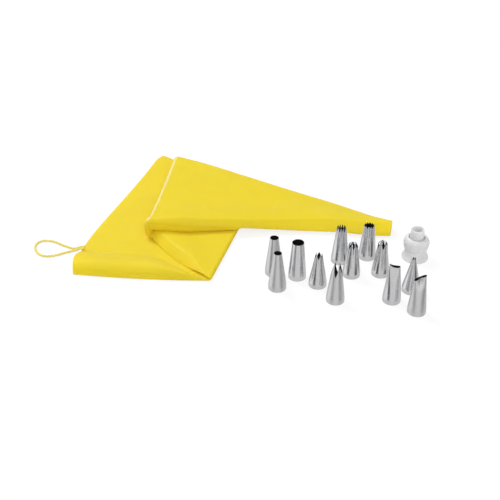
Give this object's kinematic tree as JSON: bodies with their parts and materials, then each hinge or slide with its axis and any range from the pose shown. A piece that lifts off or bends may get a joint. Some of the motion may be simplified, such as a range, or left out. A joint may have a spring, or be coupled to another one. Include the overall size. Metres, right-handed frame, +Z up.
{
  "type": "piping bag",
  "caption": "Folded conical piping bag with a hanging loop, a two-piece screw coupler and pressed steel nozzles standing beside it.",
  "frame": {"origin": "centre of the footprint, without the hanging loop, on the surface that the set lies on", "axes": "+X from the bag's mouth towards its tip, +Y away from the nozzles towards the bag's far edge, +Z up"},
  "size_m": [0.4149, 0.3232, 0.0429],
  "materials": {
    "bag_film": "satin flexible plastic",
    "loop_cord": "satin flexible plastic",
    "coupler_plastic": "milky moulded plastic",
    "nozzle_steel": "polished stainless steel, pressed from sheet"
  },
  "bodies": {
    "bag_mouth": {"bag_mouth_half": "bag_film", "hanging_loop": "loop_cord"},
    "bag_tip": {"bag_tip_half": "bag_film"},
    "round_nozzle_medium": {"round_nozzle_medium": "nozzle_steel"},
    "round_nozzle_large": {"round_nozzle_large": "nozzle_steel"},
    "round_nozzle_small": {"round_nozzle_small": "nozzle_steel"},
    "small_open_star_nozzle": {"small_open_star_nozzle": "nozzle_steel"},
    "long_tooth_star_nozzle": {"long_tooth_star_nozzle": "nozzle_steel"},
    "fine_tooth_star_nozzle": {"fine_tooth_star_nozzle": "nozzle_steel"},
    "closed_star_nozzle": {"closed_star_nozzle": "nozzle_steel"},
    "french_star_nozzle": {"french_star_nozzle": "nozzle_steel"},
    "slit_star_nozzle": {"slit_star_nozzle": "nozzle_steel"},
    "ruffle_nozzle": {"ruffle_nozzle": "nozzle_steel"},
    "writing_star_nozzle": {"writing_star_nozzle": "nozzle_steel"},
    "petal_nozzle": {"petal_nozzle": "nozzle_steel"},
    "coupler": {"coupler_base": "coupler_plastic"},
    "ring": {"coupler_ring": "coupler_plastic"}
  },
  "joints": [
    {"name": "tip_fold", "type": "hinge", "parent": "bag_mouth", "child": "bag_tip", "pos_m": [-0.109, -0.0275, 0.0231], "axis": [-0.1175, -0.9923, 0.0396], "range_deg": [0, 150]},
    {"name": "lift_round_nozzle_medium", "type": "slide", "parent": "bag_mouth", "child": "round_nozzle_medium", "axis": [0, 0, 1], "range_m": [0, 0.06]},
    {"name": "lift_round_nozzle_large", "type": "slide", "parent": "bag_mouth", "child": "round_nozzle_large", "axis": [0, 0, 1], "range_m": [0, 0.06]},
    {"name": "lift_round_nozzle_small", "type": "slide", "parent": "bag_mouth", "child": "round_nozzle_small", "axis": [0, 0, 1], "range_m": [0, 0.06]},
    {"name": "lift_small_open_star_nozzle", "type": "slide", "parent": "bag_mouth", "child": "small_open_star_nozzle", "axis": [0, 0, 1], "range_m": [0, 0.06]},
    {"name": "lift_long_tooth_star_nozzle", "type": "slide", "parent": "bag_mouth", "child": "long_tooth_star_nozzle", "axis": [0, 0, 1], "range_m": [0, 0.06]},
    {"name": "lift_fine_tooth_star_nozzle", "type": "slide", "parent": "bag_mouth", "child": "fine_tooth_star_nozzle", "axis": [0, 0, 1], "range_m": [0, 0.06]},
    {"name": "lift_closed_star_nozzle", "type": "slide", "parent": "bag_mouth", "child": "closed_star_nozzle", "axis": [0, 0, 1], "range_m": [0, 0.06]},
    {"name": "lift_french_star_nozzle", "type": "slide", "parent": "bag_mouth", "child": "french_star_nozzle", "axis": [0, 0, 1], "range_m": [0, 0.06]},
    {"name": "lift_slit_star_nozzle", "type": "slide", "parent": "bag_mouth", "child": "slit_star_nozzle", "axis": [0, 0, 1], "range_m": [0, 0.06]},
    {"name": "lift_ruffle_nozzle", "type": "slide", "parent": "bag_mouth", "child": "ruffle_nozzle", "axis": [0, 0, 1], "range_m": [0, 0.06]},
    {"name": "lift_writing_star_nozzle", "type": "slide", "parent": "bag_mouth", "child": "writing_star_nozzle", "axis": [0, 0, 1], "range_m": [0, 0.06]},
    {"name": "lift_petal_nozzle", "type": "slide", "parent": "bag_mouth", "child": "petal_nozzle", "axis": [0, 0, 1], "range_m": [0, 0.06]},
    {"name": "lift_coupler", "type": "slide", "parent": "bag_mouth", "child": "coupler", "axis": [0, 0, 1], "range_m": [0, 0.06]},
    {"name": "ring_turn", "type": "hinge", "parent": "coupler", "child": "ring", "pos_m": [0.169, -0.0596, 0.013], "axis": [0, 0, 1], "range_deg": [0, 540]}
  ]
}
